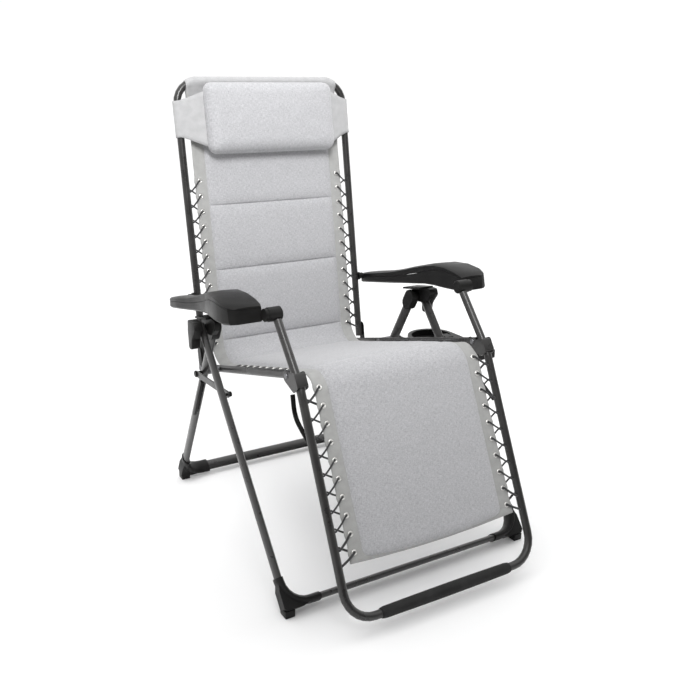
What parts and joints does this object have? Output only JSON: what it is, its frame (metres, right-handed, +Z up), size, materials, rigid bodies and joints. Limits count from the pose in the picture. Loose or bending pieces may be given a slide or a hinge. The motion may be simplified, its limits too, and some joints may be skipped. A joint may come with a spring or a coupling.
{
  "type": "folding chair",
  "caption": "Padded zero-gravity folding lounger: a tubular scissor base carries a laced reclining seat, back and leg rest, with armrests, headrest pillow and a clip-on side tray.",
  "frame": {"origin": "centre of the object's box on the floor, with the chair open and upright", "axes": "+Z up, -Y the way a sitter faces, +X the sitter's left, where the side tray hangs"},
  "size_m": [0.822, 0.9242, 1.1094],
  "materials": {
    "powder_coat": "satin powder coat on steel tube",
    "black_plastic": "satin moulded plastic",
    "grey_steel": "plain zinc-plated steel",
    "black_foam": "matte closed-cell foam",
    "black_cord": "braided elastic cord",
    "melange_fabric": "woven light-grey melange fabric",
    "plain_fabric": "plain woven grey fabric"
  },
  "bodies": {
    "rear_frame": {"rear_leg_frame": "powder_coat", "rear_foot_left": "black_plastic", "rear_foot_right": "black_plastic", "hub_cap_left": "black_plastic", "hub_cap_right": "black_plastic", "seat_pivot_left": "grey_steel", "seat_pivot_right": "grey_steel", "leg_guard_left": "black_plastic", "leg_guard_right": "black_plastic"},
    "front_frame": {"front_leg_frame": "powder_coat", "front_foot_left": "black_plastic", "front_foot_right": "black_plastic", "stay_bolt_left": "black_plastic", "stay_bolt_right": "black_plastic", "side_tray": "black_plastic"},
    "stay_left": {"stay_left": "powder_coat", "stay_pin_left": "black_plastic"},
    "stay_right": {"stay_right": "powder_coat", "stay_pin_right": "black_plastic"},
    "seat": {"seat_rail_left": "powder_coat", "seat_rail_right": "powder_coat", "seat_lacing_left": "black_cord", "seat_lacing_right": "black_cord", "seat_pad": "melange_fabric"},
    "back": {"back_frame": "powder_coat", "hip_plate_left": "black_plastic", "hip_plate_right": "black_plastic", "hip_bolt_left": "grey_steel", "hip_bolt_right": "grey_steel", "arm_rear_pivot_left": "black_plastic", "arm_rear_pivot_right": "black_plastic", "back_lacing_left": "black_cord", "back_lacing_right": "black_cord", "back_pad": "melange_fabric"},
    "headrest": {"headrest_pillow": "melange_fabric", "headrest_band": "plain_fabric"},
    "leg_rest": {"leg_rest_frame": "powder_coat", "foot_bar_sleeve": "black_foam", "knee_bracket_left": "powder_coat", "knee_bracket_right": "powder_coat", "knee_rivet_left": "grey_steel", "knee_rivet_right": "grey_steel", "knee_strap_left": "black_plastic", "knee_strap_right": "black_plastic", "arm_front_boss_left": "black_plastic", "arm_front_boss_right": "black_plastic", "leg_lacing_left": "black_cord", "leg_lacing_right": "black_cord", "leg_pad": "melange_fabric"},
    "armrest_left": {"armrest_left": "black_plastic", "armrest_cap_left": "black_plastic"},
    "armrest_right": {"armrest_right": "black_plastic", "armrest_cap_right": "black_plastic"},
    "carriage_left": {"arm_carriage_left": "black_plastic"},
    "carriage_right": {"arm_carriage_right": "black_plastic"},
    "lever_left": {"lock_lever_left": "black_plastic"},
    "lever_right": {"lock_lever_right": "black_plastic"}
  },
  "joints": [
    {"name": "fold", "type": "hinge", "parent": "rear_frame", "child": "front_frame", "pos_m": [-0.059, 0.1279, 0.5417], "axis": [-1, 0, 0], "range_deg": [-66, 0]},
    {"name": "stay_swing_left", "type": "hinge", "parent": "front_frame", "child": "stay_left", "pos_m": [0.249, 0.0129, 0.4035], "axis": [-1, 0, 0], "range_deg": [0, 115.6]},
    {"name": "stay_swing_right", "type": "hinge", "parent": "front_frame", "child": "stay_right", "pos_m": [-0.367, 0.0129, 0.4035], "axis": [-1, 0, 0], "range_deg": [0, 115.6]},
    {"name": "recline", "type": "hinge", "parent": "rear_frame", "child": "seat", "pos_m": [-0.059, 0.2165, 0.3958], "axis": [-1, 0, 0], "range_deg": [0, 19.84]},
    {"name": "back_tilt", "type": "hinge", "parent": "seat", "child": "back", "pos_m": [-0.059, 0.3336, 0.3649], "axis": [-1, 0, 0], "range_deg": [0, 20.2]},
    {"name": "leg_rest_lift", "type": "hinge", "parent": "seat", "child": "leg_rest", "pos_m": [-0.059, -0.2051, 0.5068], "axis": [-1, 0, 0], "range_deg": [0, 40.4]},
    {"name": "armrest_tilt_left", "type": "hinge", "parent": "back", "child": "armrest_left", "pos_m": [0.203, 0.361, 0.556], "axis": [-1, 0, 0], "range_deg": [-26.3, 0]},
    {"name": "armrest_tilt_right", "type": "hinge", "parent": "back", "child": "armrest_right", "pos_m": [-0.321, 0.361, 0.556], "axis": [-1, 0, 0], "range_deg": [-26.3, 0]},
    {"name": "carriage_tilt_left", "type": "hinge", "parent": "rear_frame", "child": "carriage_left", "pos_m": [0.248, 0.1279, 0.5417], "axis": [-1, 0, 0], "range_deg": [0, 13.8]},
    {"name": "carriage_tilt_right", "type": "hinge", "parent": "rear_frame", "child": "carriage_right", "pos_m": [-0.366, 0.1279, 0.5417], "axis": [-1, 0, 0], "range_deg": [0, 13.8]},
    {"name": "lock_lever_left_turn", "type": "hinge", "parent": "carriage_left", "child": "lever_left", "pos_m": [0.282, 0.1339, 0.5465], "axis": [-1, 0, 0], "range_deg": [-60, 0]},
    {"name": "lock_lever_right_turn", "type": "hinge", "parent": "carriage_right", "child": "lever_right", "pos_m": [-0.4, 0.1339, 0.5465], "axis": [-1, 0, 0], "range_deg": [-60, 0]},
    {"name": "headrest_slide", "type": "slide", "parent": "back", "child": "headrest", "axis": [0, 0.1431, 0.9897], "range_m": [-0.085, 0]}
  ],
  "couplings": [
    {"joint": "stay_swing_left", "follows": "fold", "ratio": -1.75},
    {"joint": "stay_swing_right", "follows": "fold", "ratio": -1.75},
    {"joint": "back_tilt", "follows": "recline", "ratio": 1.0162},
    {"joint": "leg_rest_lift", "follows": "recline", "ratio": 2.0354},
    {"joint": "armrest_tilt_left", "follows": "recline", "ratio": -1.3237},
    {"joint": "armrest_tilt_right", "follows": "recline", "ratio": -1.3237},
    {"joint": "carriage_tilt_left", "follows": "recline", "ratio": 0.6925},
    {"joint": "carriage_tilt_right", "follows": "recline", "ratio": 0.6925}
  ]
}
